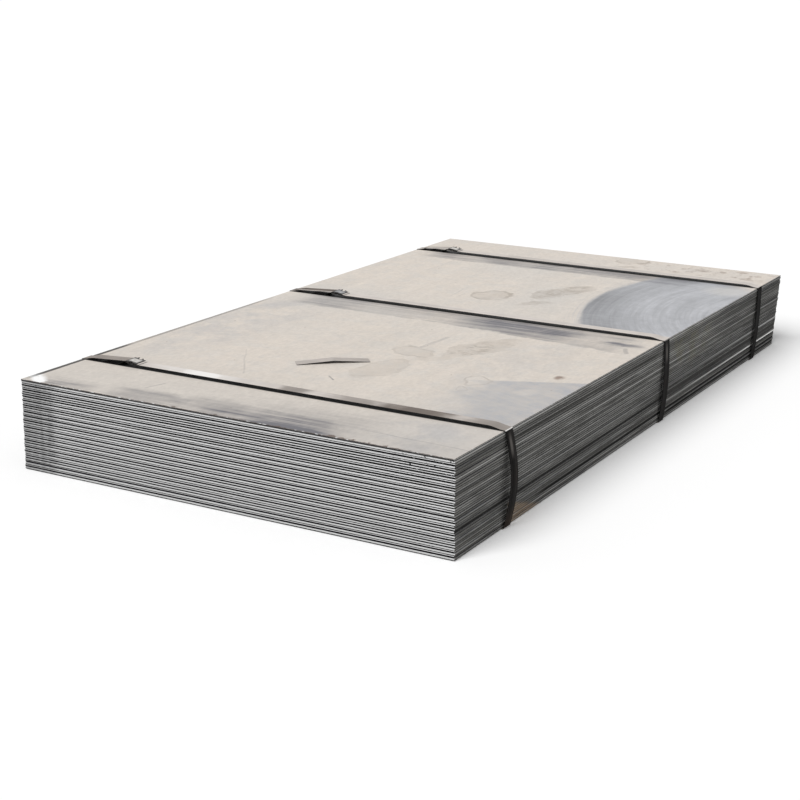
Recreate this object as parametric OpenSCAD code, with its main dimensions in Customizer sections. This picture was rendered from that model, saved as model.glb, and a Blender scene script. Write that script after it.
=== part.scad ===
// A strapped bundle of flat steel sheets. X runs along the sheets, Y across them, Z up.
// The origin is at the middle of the bundle, on the surface that it stands on. Millimetres.

/* [Sheets] */
// Length of a sheet
sheet_l = 2000; // [1200:10:3000]
// Width of a sheet
sheet_w = 1100; // [800:10:1500]
// Thickness of a sheet
sheet_t = 5; // [3:0.5:8]
// Number of sheets in the bundle
sheet_count = 41; // [10:1:50]
// Smallest gap between two sheets
gap_min = 0.05; // [0.02:0.01:0.1]
// Largest gap between two sheets
gap_max = 0.3; // [0.1:0.05:0.5]
// Radius of the rollover along a sheet's upper edges
edge_roll = 0.8; // [0.3:0.1:1.2]
// Depth of the breakaway along a sheet's lower edges
edge_break = 0.8; // [0.2:0.1:1]
// Height of the breakaway
break_h = 2; // [1:0.5:2.5]
// Furthest that a sheet lies out of line lengthwise
end_shift = 1; // [0:0.5:6]
// Furthest that a sheet lies out of line sideways, apart from the lean
side_shift = 1.2; // [0:0.1:3]
// How far the lowest sheet lies inward on the right of the far end, where the bundle leans
lean_low = 5.5; // [0:0.5:10]
// How far the top sheet stands out there
lean_high = 8; // [0:0.5:10]
// Number that sets how the sheets lie
stack_seed = 11; // [1:1:99]

/* [Straps] */
// Width of the strap
strap_w = 32; // [19:1:40]
// Thickness of the strap
strap_t = 1; // [0.6:0.1:1.3]
// Distance of the near strap from the sheets' near end
near_in = 223; // [100:1:400]
// Distance of the middle strap past the sheets' middle
middle_past = 88; // [-200:1:200]
// Distance of the far strap from the sheets' far end
far_in = 200; // [100:1:400]
// How far the near strap bows out at the sides
near_bow = 15; // [0:1:20]
// How far the middle strap bows out at the sides
middle_bow = 6; // [0:1:20]
// How far the far strap bows out at the sides
far_bow = 4; // [0:1:20]
// Height of the straps over the top sheet beside its edges
run_lift = 6; // [2:0.5:8]
// Length over which they rise to it from the edges
ramp_l = 38; // [25:1:60]
// Inner radius where a strap bends round the bundle's edges
bend_r = 2; // [1.5:0.5:5]
// Gap between a strap and the sheet that it bears on
seat_gap = 0.1; // [0.05:0.05:0.3]

/* [Seals] */
// Length of a seal
seal_l = 30; // [25:1:60]
// Sheet thickness of a seal
seal_t = 1.2; // [0.8:0.1:1.5]
// Gap between the strap and the inside of a seal
seal_fit = 0.15; // [0.1:0.05:0.3]
// Slot between the two folded flanges under a seal
seal_slot = 12; // [6:1:16]
// Radius of the notch crimped into each side of a seal
notch_r = 4.5; // [3:0.5:6]
// Distance of the ears' tips from the ends of a seal
ear_in = 1.5; // [0.5:0.5:4]
// Reach of the ears beyond the side of a seal, beside the notch
ear_reach = 5; // [2:0.5:8]
// Angle that the ears are bent up by
ear_bend = 30; // [0:5:60]
// Height of the lapped strap ends over the top sheet
seal_lift = 9; // [6:0.5:15]
// Angle that the lapped ends and their seal slope down to the right by
seal_tilt = 7; // [0:1:10]
// Length of the upper strap end past a seal
stub_l = 6; // [3:1:40]
// Length of the lower strap end past a seal, which droops onto the top sheet
tail_l = 70; // [40:5:85]
// Length that it droops over
droop_l = 28; // [20:1:35]
// Gap between the two lapped ends
lap_gap = 0.1; // [0.05:0.05:0.3]
// Distance of the near seal from the sheets' left edge
near_seal_in = 146; // [130:1:300]
// Distance of the middle seal from the sheets' left edge
middle_seal_in = 158; // [130:1:300]
// Distance of the far seal from the sheets' left edge
far_seal_in = 132; // [130:1:300]

/* [Offcut] */
// Length of the strap offcut
offcut_l = 172; // [100:1:250]
// Height of the kink at the middle of the offcut
kink_h = 6; // [2:0.5:12]
// Distance of the offcut past the near strap
offcut_past = 262; // [150:1:350]
// Distance of the offcut from the sheets' left edge
offcut_in = 516; // [300:1:800]
// Direction of the offcut
offcut_turn = -50; // [-90:1:90]

/* [Hidden] */
STRAPS = ["near", "middle", "far"];
SHEETS = [for (i = [1:sheet_count]) str("sheet_", i < 10 ? "0" : "", i)];

sheet_color = "#c8c4bc";
strap_color = "#4a4846";
seal_color = "#6c6a68";

// The sheets, counted from the bottom one, which bears on the straps
lie_ends = rands(-1, 1, sheet_count, stack_seed);
lie_near = rands(-1, 1, sheet_count, stack_seed + 1);
lie_far = rands(-1, 1, sheet_count, stack_seed + 2);
lie_gaps = rands(0, 1, sheet_count, stack_seed + 3);
stack_z = strap_t + seat_gap;
function gap_under(i) = i == 0 ? 0 : gap_min + (gap_max - gap_min) * pow(lie_gaps[i], 3);
function sheet_z(i) = i < 0 ? stack_z - sheet_t : sheet_z(i - 1) + sheet_t + gap_under(i);
stack_top = sheet_z(sheet_count - 1) + sheet_t;
stack_h = stack_top - stack_z;

// Share of the bundle's height at z, and how far the far end leans to the left there
function level(z) = max(0, min(1, (z - stack_z) / stack_h));
function lean(z) = lean_low - (lean_low + lean_high) * level(z);

// How a sheet lies: out of line lengthwise, and sideways at its near and far ends
function end_off(i) = end_shift * pow(lie_ends[i], 3);
function near_off(i) = side_shift * lie_near[i];
function far_off(i) = side_shift * lie_far[i] + lean(sheet_z(i) + sheet_t / 2);
function side_off(i) = (near_off(i) + far_off(i)) / 2;
function turn(i) = atan((far_off(i) - near_off(i)) / sheet_l);

// The straps' places and shapes
strap_xs = [near_in - sheet_l / 2, middle_past, sheet_l / 2 - far_in];
strap_bows = [near_bow, middle_bow, far_bow];
seal_ys = [for (d = [near_seal_in, middle_seal_in, far_seal_in]) sheet_w / 2 - d];
corner_clear = (seat_gap + (bend_r - edge_roll) * (sqrt(2) - 1)) / sqrt(2);
lap_z = stack_top + seal_lift;
lap_along = [cos(seal_tilt), sin(seal_tilt)];
lap_up = [-sin(seal_tilt), cos(seal_tilt)];
seal_in_w = strap_w + 2 * seal_fit;
seal_in_h = 2 * strap_t + lap_gap + 2 * seal_fit;
ear_l = seal_l / 2 - notch_r - ear_in;
run_steps = 12;
arc_steps = 6;

function ease(a, b, u) = a + (b - a) * (1 - cos(180 * max(0, min(1, u)))) / 2;
function arc(c, r, a0, a1) =
    [for (k = [0:arc_steps]) let (a = a0 + (a1 - a0) * k / arc_steps) c + r * [cos(a), sin(a)]];

// Sideways places at distance x along the bundle: those of a sheet, and those of the lean by itself
function share_at(x) = x / sheet_l + 0.5;
function off_at(i, x) = near_off(i) + (far_off(i) - near_off(i)) * share_at(x);
function lean_at(z, x) = lean(z) * share_at(x);

// Side of the bundle at strap k, a line that no sheet crosses: side is 1 at the left, -1 at the right
function stray(k, side) =
    max([for (i = [0:sheet_count - 1], h = [0, sheet_t], e = [-1, 1])
        side * (off_at(i, strap_xs[k] + e * strap_w / 2) - lean_at(sheet_z(i) + h, strap_xs[k]))]);
function edge_y(k, side, z) = sheet_w / 2 + side * lean_at(z, strap_xs[k]) + stray(k, side);

// Inner face of a strap's side run at height z, from the bundle's middle plane
function side_y(k, side, z) =
    let (u = level(z))
    edge_y(k, side, z) + bend_r + (corner_clear - bend_r) * u + strap_bows[k] * sin(180 * u);

// Inner face of strap k, from the upper lapped end round the bundle to the lower one
function strap_path(k) =
    let (
        corner = corner_clear - bend_r,
        top_left = edge_y(k, 1, stack_top) + corner,
        top_right = edge_y(k, -1, stack_top) + corner,
        top_z = stack_top + corner,
        foot_left = edge_y(k, 1, stack_z),
        foot_right = edge_y(k, -1, stack_z),
        foot_z = strap_t + bend_r,
        lap_a = [seal_ys[k], lap_z] - (seal_l / 2 + stub_l) * lap_along,
        lap_b = [seal_ys[k], lap_z] + seal_l / 2 * lap_along,
        lap_step = (strap_t + lap_gap) * lap_up,
        tail = min(tail_l, top_left - ramp_l - lap_b[0]),
        rise = [for (n = [1:run_steps]) let (u = n / run_steps)
            [ramp_l * u, stack_top + ease(corner_clear, run_lift, u)]],
        droop = [for (n = [0:run_steps]) let (u = n / run_steps)
            [lap_b[0] + droop_l * u, ease(lap_b[1], stack_top + seat_gap, u)]],
        side = [for (n = [1:2 * run_steps - 1]) top_z + (foot_z - top_z) * n / (2 * run_steps)]
    )
    concat(
        [lap_a + lap_step, lap_b + lap_step],
        [for (n = [run_steps - 1:-1:0]) [top_left - rise[n][0], rise[n][1]]],
        arc([top_left, top_z], bend_r, 90, 0),
        [for (z = side) [side_y(k, 1, z), z]],
        arc([foot_left, foot_z], bend_r, 0, -90),
        arc([-foot_right, foot_z], bend_r, -90, -180),
        [for (n = [len(side) - 1:-1:0]) [-side_y(k, -1, side[n]), side[n]]],
        arc([-top_right, top_z], bend_r, 180, 90),
        [for (p = rise) [p[0] - top_right, p[1]]],
        [lap_a],
        droop,
        [[lap_b[0] + tail, stack_top + seat_gap]]
    );

// Outline of a band of thickness t on the left of a path
function along(p, k) =
    let (d = p[min(k + 1, len(p) - 1)] - p[max(k - 1, 0)])
    d / norm(d);
function left(d) = [-d[1], d[0]];
function band(p, t) =
    concat(p, [for (k = [len(p) - 1:-1:0]) p[k] + t * left(along(p, k))]);

// A sheet's section across two opposite sheared edges
module edge_section(span) {
    half = [
        [span / 2 - edge_break, 0],
        [span / 2, break_h],
        for (a = [0:30:90]) [span / 2 - edge_roll, sheet_t - edge_roll] + edge_roll * [cos(a), sin(a)]
    ];
    polygon(concat(half, [for (k = [len(half) - 1:-1:0]) [-half[k][0], half[k][1]]]));
}

module sheet(i) {
    color(sheet_color)
        translate([end_off(i), side_off(i), sheet_z(i)])
            rotate([0, 0, turn(i)])
                intersection() {
                    rotate([90, 0, 0]) linear_extrude(sheet_w, center = true) edge_section(sheet_l);
                    rotate([90, 0, 90]) linear_extrude(sheet_l, center = true) edge_section(sheet_w);
                }
}

// The place of seal k, with the lapped ends' lower face at height nought
module at_seal(k) {
    translate([strap_xs[k], seal_ys[k], lap_z]) rotate([seal_tilt, 0, 0]) children();
}

// The notches that the crimping tool cuts into a seal and the strap ends in it
module notches() {
    notch_h = 4 * (seal_t + strap_t + seal_fit);
    for (side = [-1, 1])
        translate([side * (strap_w / 2 + seal_fit + seal_t), 0, strap_t])
            cylinder(h = notch_h, r = notch_r, center = true, $fn = 24);
}

module strap(k) {
    color(strap_color)
        difference() {
            translate([strap_xs[k], 0, 0])
                rotate([90, 0, 90])
                    linear_extrude(strap_w, center = true)
                        polygon(band(strap_path(k), strap_t));
            at_seal(k) notches();
        }
}

// Folded section of a seal: a flat sleeve with two flanges and a slot between them
module seal_section() {
    difference() {
        translate([-seal_in_w / 2 - seal_t, -seal_t])
            square([seal_in_w + 2 * seal_t, seal_in_h + 2 * seal_t]);
        translate([-seal_in_w / 2, 0]) square([seal_in_w, seal_in_h]);
        translate([-seal_slot / 2, -2 * seal_t]) square([seal_slot, 3 * seal_t]);
    }
}

// The ears that crimping bends up at both ends of each notch, highest beside it
module ears() {
    for (side = [0, 1], end = [0, 1])
        mirror([side, 0, 0])
            mirror([0, end, 0])
                translate([seal_in_w / 2, notch_r, seal_in_h / 2])
                    rotate([0, -ear_bend, 0])
                        linear_extrude(seal_t)
                            polygon([[0, 0], [seal_t + ear_reach, 0], [0, ear_l]]);
}

module seal(k) {
    color(seal_color)
        at_seal(k)
            difference() {
                translate([0, 0, -seal_fit]) {
                    rotate([90, 0, 0]) linear_extrude(seal_l, center = true) seal_section();
                    difference() {
                        ears();
                        cube([seal_in_w, 2 * seal_l, 4 * seal_in_h], center = true);
                    }
                }
                notches();
            }
}

module strap_offcut() {
    kink_l = 12;
    half = offcut_l / 2;
    path = concat(
        [[-half, 0]],
        [for (k = [-2:2]) [kink_l / 2 * k / 2, kink_h * (1 - pow(k / 2, 2) * kink_l / offcut_l)]],
        [[half, 0]]
    );
    color(strap_color)
        translate([strap_xs[0] + offcut_past, sheet_w / 2 - offcut_in, stack_top + seat_gap])
            rotate([0, 0, offcut_turn])
                rotate([90, 0, 0])
                    linear_extrude(strap_w, center = true)
                        polygon(band(path, strap_t));
}

for (i = [0:sheet_count - 1]) sheet(i);
for (k = [0:2]) strap(k);
for (k = [0:2]) seal(k);
strap_offcut();
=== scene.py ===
import math

import bpy
from bpy.props import FloatProperty, FloatVectorProperty, PointerProperty
from mathutils import Matrix, Vector


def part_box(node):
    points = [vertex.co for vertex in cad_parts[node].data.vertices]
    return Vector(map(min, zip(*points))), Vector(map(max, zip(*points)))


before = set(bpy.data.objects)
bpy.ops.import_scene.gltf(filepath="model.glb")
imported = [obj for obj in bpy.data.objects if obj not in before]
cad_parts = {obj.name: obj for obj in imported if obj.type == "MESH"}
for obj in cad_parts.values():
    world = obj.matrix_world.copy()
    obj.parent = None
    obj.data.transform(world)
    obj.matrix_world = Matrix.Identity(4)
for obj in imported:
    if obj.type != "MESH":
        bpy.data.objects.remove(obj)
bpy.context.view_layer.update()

bl_info = {
    "name": "Sheet bundle finishes",
    "version": (1, 0, 0),
    "blender": (4, 5, 0),
    "location": "View3D > Sidebar > Sheet bundle",
    "description": "Finishes, light, floor and camera for a strapped bundle of steel sheets",
    "category": "Material",
}

SHEETS = sorted(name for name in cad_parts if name.startswith("sheet_"))
TOP_SHEET = SHEETS[-1]
STRAPS = ("strap_near", "strap_middle", "strap_far")
SEALS = ("seal_near", "seal_middle", "seal_far")
OFFCUT = "strap_offcut"
TOP_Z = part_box(TOP_SHEET)[1].z
IMAGE_SIDE = 800

# Levels that most of a noise lies between
NOISE_REACH = (0.3, 0.7)

# How strongly each finish mirrors, and how deep its relief is in metres
EDGE_MIRROR, EDGE_RELIEF = 0.03, 0.0004
TOP_MIRROR, TOP_RELIEF = 0.35, 0.0004
STRAP_MIRROR, STRAP_RELIEF = 0.01, 0.0003
SEAL_MIRROR, SEAL_RELIEF = 0.2, 0.0002
SEAL_METAL = 0.2


def tone(red, green, blue):
    """A colour given as it shows on a screen, 0 to 255, in scene linear values."""
    shares = [value / 255 for value in (red, green, blue)]
    return tuple(s / 12.92 if s <= 0.04045 else ((s + 0.055) / 1.055) ** 2.4 for s in shares)


def colour(name, description, shade):
    """A colour that a user may change."""
    return FloatVectorProperty(
        name=name, description=description, subtype="COLOR", size=3, min=0, max=1,
        default=tone(*shade),
    )


class SheetFinish(bpy.types.PropertyGroup):
    """Colours of the sheets."""

    dust: colour("Dust", "Dry dust film on the top face", (215, 206, 196))
    dust_dull: colour("Dull dust", "Dust where it is thin and grey", (202, 199, 195))
    bare: colour("Bare steel", "Top face where the dust is wiped off", (164, 165, 169))
    oily: colour("Oily steel", "Darkest part of the stains along the straps", (96, 95, 101))
    print_mark: colour("Prints", "Trodden marks in the dust", (160, 150, 139))
    rust: colour("Rust", "Rust spots and tints", (104, 72, 52))
    chalk: colour("Chalk", "White rub at the near left corner", (254, 254, 254))
    cut_end: colour("Cut end", "Bright burnished zone of the sheared ends", (212, 212, 212))
    mill_side: colour("Mill side", "Dark scale on the long edges", (162, 161, 157))
    # Painted highlights on the rolled crests of the long edges and along the ledge lines
    edge_highlight: colour("Mill shine", "Light lines along the long edges", (244, 244, 242))
    olive: colour("Olive", "Olive tint on the long edges", (172, 168, 142))
    tan: colour("Tan", "Rust dust low on the right side", (206, 180, 152))
    # Black of the breakaway zone together with painted shade: in the grooves between sheets, along
    # open joints, beneath the ledge lines and beneath the straps
    gap: colour("Gap", "Black breakaway at the foot of each edge", (12, 12, 12))
    # Dark foot of the long edges: the breakaway zone together with painted shade of the groove
    # between sheets
    seam: colour("Seam", "Dark line between two long edges", (40, 39, 38))


class StrapFinish(bpy.types.PropertyGroup):
    """Colours of the straps and their seals."""

    strap: colour("Strap", "Dark waxed steel of the straps", (50, 48, 47))
    # Painted shade: black narrow edges of the straps and their lower ends past the seals
    strap_edge_shade: colour("Strap edge", "Black narrow edges of the straps", (16, 15, 15))
    # Dust on the upper faces together with a painted sky reflection; also the painted highlight
    # down the strap sides
    strap_dust_and_sheen: colour("Strap dust", "Dust on the straps' upper faces", (210, 203, 197))
    strap_brown: colour("Strap brown", "Brown tint of the straps", (86, 76, 69))
    # Bright steel of wear together with a painted glint at the bends and a painted sky reflection
    # along the near strap
    wear_and_glint: colour("Worn bend", "Bright steel where a strap is rubbed", (243, 240, 237))
    seal: colour("Seal", "Dull zinc on top of the seals", (200, 196, 191))
    seal_blue: colour("Blue seal", "Blued steel on top of the middle seal", (112, 115, 122))
    # Painted shade on the sides and top outline of the seals
    seal_side_shade: colour("Seal edge", "Dark sides and outline of the seals", (38, 36, 35))
    seal_scuff: colour("Seal scuff", "Scuffs that the crimping tool leaves", (226, 225, 223))


class StageSettings(bpy.types.PropertyGroup):
    """Camera, light and floor."""

    camera_place: FloatVectorProperty(
        name="Camera place", description="Where the camera stands", subtype="TRANSLATION", size=3,
        default=(-3.59772, -1.92658, 1.18373),
    )
    camera_azimuth: FloatProperty(
        name="Azimuth", description="Direction of the camera round the bundle", subtype="ANGLE",
        default=-1.047275,
    )
    camera_elevation: FloatProperty(
        name="Elevation", description="How far the camera looks down", subtype="ANGLE",
        default=0.283716,
    )
    camera_roll: FloatProperty(
        name="Roll", description="Turn of the camera about its own axis", subtype="ANGLE",
        default=0.005472,
    )
    focal_px: FloatProperty(
        name="Focal length", description="Focal length in pixels of the image", subtype="PIXEL",
        default=1623.812,
    )
    sun_elevation: FloatProperty(
        name="Light height", description="Height of the light above the floor", subtype="ANGLE",
        default=math.radians(44),
    )
    sun_azimuth: FloatProperty(
        name="Light direction", description="Direction that the light comes from, round the Z axis",
        subtype="ANGLE", default=math.radians(172),
    )
    sun_softness: FloatProperty(
        name="Light softness", description="Angle that the light covers", subtype="ANGLE",
        default=math.radians(40),
    )
    sun_strength: FloatProperty(
        name="Light strength", description="Irradiance of the light", default=3.0, min=0
    )
    ambient: FloatProperty(
        name="Ambient", description="Level of the light from all sides", default=0.32, min=0
    )
    floor_side: FloatProperty(
        name="Floor side", description="Side of the square floor", subtype="DISTANCE", default=160
    )


class Graph:
    """Adds nodes to one tree. An input is a socket, a number or a tuple."""

    def __init__(self, tree):
        self.tree = tree
        tree.nodes.clear()

    def add(self, kind, inputs=(), **settings):
        node = self.tree.nodes.new(kind)
        for name, value in settings.items():
            setattr(node, name, value)
        pairs = inputs.items() if isinstance(inputs, dict) else enumerate(inputs)
        for key, value in pairs:
            if isinstance(value, bpy.types.NodeSocket):
                self.tree.links.new(value, node.inputs[key])
            else:
                node.inputs[key].default_value = value
        return node

    def math(self, operation, *values):
        return self.add("ShaderNodeMath", values, operation=operation).outputs[0]

    def plus(self, a, b):
        return self.math("ADD", a, b)

    def minus(self, a, b):
        return self.math("SUBTRACT", a, b)

    def times(self, first, *others):
        for other in others:
            first = self.math("MULTIPLY", first, other)
        return first

    def most(self, first, *others):
        for other in others:
            first = self.math("MAXIMUM", first, other)
        return first

    def size(self, a):
        return self.math("ABSOLUTE", a)

    def step(self, value, low, high, out_low=0.0, out_high=1.0):
        """A smooth step; with low above high it falls."""
        values = (value, low, high, out_low, out_high)
        return self.add("ShaderNodeMapRange", values, interpolation_type="SMOOTHSTEP").outputs[0]

    def line(self, value, low, high, out_low, out_high):
        """A straight run from one level to another, flat beyond its ends."""
        values = (value, low, high, out_low, out_high)
        return self.add("ShaderNodeMapRange", values).outputs[0]

    def vary(self, noise, out_low, out_high):
        """Two levels that noise runs between."""
        return self.line(noise, *NOISE_REACH, out_low, out_high)

    def between(self, share, none, full):
        """A level at no share and at a full share."""
        return self.line(share, 0, 1, none, full)

    def mix(self, share, a, b):
        """One colour turning into another."""
        inputs = {0: share, 6: rgba(a), 7: rgba(b)}
        return self.add("ShaderNodeMix", inputs, data_type="RGBA").outputs[2]

    def blend(self, share, a, b):
        """One value turning into another."""
        inputs = {0: share, 2: a, 3: b}
        return self.add("ShaderNodeMix", inputs, data_type="FLOAT").outputs[0]

    def shade(self, colour_in, value):
        """A colour times a grey level."""
        level = self.add("ShaderNodeCombineColor", (value, value, value)).outputs[0]
        inputs = {0: 1.0, 6: rgba(colour_in), 7: level}
        return self.add("ShaderNodeMix", inputs, data_type="RGBA", blend_type="MULTIPLY").outputs[2]

    def split(self, vector):
        return self.add("ShaderNodeSeparateXYZ", (vector,)).outputs

    def join(self, x, y, z=0.0):
        return self.add("ShaderNodeCombineXYZ", (x, y, z)).outputs[0]

    def noise(self, vector, scale, detail=3.0, rough=0.55, shift=0.0):
        """Noise around one half at a scale per metre."""
        inputs = {
            "Vector": vector, "W": shift, "Scale": scale, "Detail": detail, "Roughness": rough,
        }
        return self.add("ShaderNodeTexNoise", inputs, noise_dimensions="4D").outputs[0]

    def streaks(self, place, stretches, scale, shift=0.0, detail=3.0):
        """Noise drawn out into streaks: each of x, y and z has its own stretch of the scale."""
        vector = self.join(*(self.times(part, share) for part, share in zip(place, stretches)))
        return self.noise(vector, scale, detail, shift=shift)

    def finish(self, base, roughness, metallic, height, bump_depth, specular):
        """The surface itself, from its colour, roughness, metal share and relief."""
        relief = {"Strength": 1.0, "Distance": bump_depth, "Height": height}
        bump = self.add("ShaderNodeBump", relief)
        shader = self.add("ShaderNodeBsdfPrincipled", {
            "Base Color": base,
            "Metallic": metallic,
            "Roughness": roughness,
            "Specular IOR Level": specular,
            "Normal": bump.outputs[0],
        })
        self.add("ShaderNodeOutputMaterial", (shader.outputs[0],))


def rgba(value):
    """A colour as a socket takes it."""
    if isinstance(value, bpy.types.NodeSocket):
        return value
    return (*value, 1.0)


def new_material(name):
    material = bpy.data.materials.new(name)
    material.use_nodes = True
    return material, Graph(material.node_tree)


def wear(names, material):
    """Puts one material on CAD nodes."""
    for name in names:
        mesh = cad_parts[name].data
        mesh.materials.clear()
        mesh.materials.append(material)


class Surface:
    """Where a shaded point is and which way its face looks."""

    def __init__(self, graph):
        texture = graph.add("ShaderNodeTexCoord")
        geometry = graph.add("ShaderNodeNewGeometry")
        self.point = texture.outputs["Object"]
        self.x, self.y, self.z = graph.split(self.point)
        self.share_x, self.share_y, self.share_z = graph.split(texture.outputs["Generated"])
        self.nx, self.ny, self.nz = graph.split(geometry.outputs["True Normal"])
        self.random = graph.add("ShaderNodeObjectInfo").outputs["Random"]


# Marks by place. Every place is in metres from the middle of the bundle

# Share of a ring's or a stroke's half width that is at full strength
RING_CORE, STROKE_CORE = 0.3, 0.35


def stretch(g, value, low, high, soft):
    """One between two places, with soft ends."""
    return g.times(g.step(value, low - soft, low + soft), g.step(value, high + soft, high - soft))


def patch(g, x, y, box, soft):
    """One in a box, with soft sides."""
    x0, x1, y0, y1 = box
    return g.times(stretch(g, x, x0, x1, soft[0]), stretch(g, y, y0, y1, soft[1]))


def turned(g, x, y, middle, turn):
    """Place in a frame turned about a middle."""
    dx, dy = g.minus(x, middle[0]), g.minus(y, middle[1])
    c, s = math.cos(turn), math.sin(turn)
    return g.plus(g.times(dx, c), g.times(dy, s)), g.minus(g.times(dy, c), g.times(dx, s))


def oval_distance(g, x, y, middle, radii, turn):
    """Distance from an oval's middle, where its outline is at one."""
    u, v = turned(g, x, y, middle, turn)
    u, v = g.math("DIVIDE", u, radii[0]), g.math("DIVIDE", v, radii[1])
    return g.math("SQRT", g.plus(g.times(u, u), g.times(v, v)))


def oval(g, x, y, middle, radii, turn, soft):
    """A filled oval with a soft outline."""
    distance = oval_distance(g, x, y, middle, radii, turn)
    return g.step(distance, 1 + soft, 1 - soft)


def ring(g, x, y, middle, radii, turn, width):
    """The outline of an oval."""
    distance = oval_distance(g, x, y, middle, radii, turn)
    return g.step(g.size(g.minus(distance, 1.0)), width, width * RING_CORE)


def tread(g, x, y, middle, radii, turn):
    """Ridges of a sole across an oval."""
    u, v = turned(g, x, y, middle, turn)
    wave = g.math("SINE", g.times(g.plus(u, g.times(v, TREAD_SLANT)), math.tau / TREAD_RIDGE))
    return g.times(oval(g, x, y, middle, radii, turn, 0.3), g.step(wave, 0.1, 0.8))


def stroke(g, x, y, start, end, width):
    """A straight mark with round ends."""
    dx, dy = end[0] - start[0], end[1] - start[1]
    length = math.hypot(dx, dy)
    u, v = turned(g, x, y, start, math.atan2(dy, dx))
    past = g.minus(u, g.math("MINIMUM", g.most(u, 0.0), length))
    distance = g.math("SQRT", g.plus(g.times(past, past), g.times(v, v)))
    return g.step(distance, width, width * STROKE_CORE)


def below(g, x, y, start, end, soft):
    """One on the right of a line from start to end."""
    turn = math.atan2(end[1] - start[1], end[0] - start[0])
    return g.step(turned(g, x, y, start, turn)[1], soft, -soft)


def marks(g, rows, draw):
    """The strongest of several marks. A row is a mark's shape and, last, its level."""
    total = 0.0
    for *shape, level in rows:
        total = g.most(g.times(draw(*shape), level), total)
    return total


def wavy(g, s, scale, reach, shift, detail=3.0, rough=0.55):
    """A place on the sheet that noise moves along x and y, as far as it reaches."""
    move_x = g.noise(s.point, scale, detail, rough, shift)
    move_y = g.noise(s.point, scale, detail, rough, shift + 1)
    return (
        g.plus(s.x, g.vary(move_x, -reach[0], reach[0])),
        g.plus(s.y, g.vary(move_y, -reach[1], reach[1])),
    )


def middle_of(name):
    """Middle of a CAD node's box."""
    low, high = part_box(name)
    return (low + high) / 2


# Finish of a sheet's edges: bright sheared ends, dark mill sides, and a black foot that is the
# breakaway zone with painted shade of the groove between sheets

# Sheets, from 0 at the bottom, whose end has a black or half black foot, and how high it goes. The
# black foot is the breakaway zone together with painted shade of the groove between sheets
DARK_JOINTS = (1, 3, 8, 10, 13, 15, 17, 19, 22, 24, 26, 29, 31, 33, 36, 38, 40)
HALF_DARK_JOINTS = (5, 6, 12, 21, 28, 34, 35)
DARK_FOOT, HALF_DARK_FOOT, FAINT_FOOT = 0.76, 0.60, 0.37
DARK_FOOT_RAGGED, FAINT_FOOT_RAGGED = 0.06, 0.12
LEDGE_HIGHLIGHTS = (
    # sheet that stands out on the right side, brightness of the painted highlight on its edge, with
    # a painted shadow beneath it
    (SHEETS[8], 1.0),
    (SHEETS[16], 0.6),
)
OLIVE_PATCH = ((0.13, 0.4, 0.12, 0.215), (0.06, 0.03))
TAN_LINE = ((-0.75, 0.045), (-0.61, 0.0))
# Joints on the right side that stand open, painted dark as their shade
SHADED_SEAMS = (
    # height, start and end along the right side, level
    (0.024, -0.62, 1.1, 0.95),
    (0.061, -1.1, 0.06, 0.8),
    (0.014, 0.1, 1.1, 1.0),
    (0.184, -0.75, 0.05, 0.6),
)


def joint_foot(name):
    """Share of a sheet's end that is black, from the foot up."""
    number = SHEETS.index(name)
    if number in DARK_JOINTS:
        return DARK_FOOT
    return HALF_DARK_FOOT if number in HALF_DARK_JOINTS else FAINT_FOOT


def end_colour(g, s, finish, black, own, wander, fine):
    """Bright sheared end over a black foot of breakaway and painted groove shade, with its share of
    bright.
    """
    ragged = FAINT_FOOT_RAGGED if black == FAINT_FOOT else DARK_FOOT_RAGGED
    foot = g.plus(g.vary(wander, black - 0.04, black + 0.04), g.vary(fine, -ragged, ragged))
    lit = g.step(s.share_z, g.minus(foot, 0.05), g.plus(foot, 0.05))
    dull = g.step(g.plus(s.y, g.vary(wander, -0.015, 0.015)), 0.445, 0.475)
    upright = g.noise(g.join(g.times(s.y, 90.0), g.times(s.z, 4.0)), 1.0, 2.0, shift=19.0)
    level = g.times(
        g.between(g.math("POWER", own, 0.5), 0.88, 1.0),
        g.vary(fine, 0.86, 1.08),
        g.line(s.z, 0.0, 0.09, 0.86, 1.0),
        g.between(g.times(dull, g.line(upright, 0.35, 0.65, 0.6, 1.3)), 1.0, 0.6),
    )
    spots = g.noise(s.point, 150.0, 2.0, shift=3.0)
    torn = g.times(g.step(s.y, -0.34, -0.45), g.step(s.z, 0.155, 0.185))
    # The black foot is partly painted shade of the groove between sheets
    base = g.mix(lit, finish.gap, g.shade(finish.cut_end, level))
    base = g.mix(g.times(torn, g.step(spots, 0.37, 0.33)), base, finish.gap)
    return g.mix(g.times(torn, g.step(spots, 0.64, 0.68)), base, finish.cut_end), lit


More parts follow.
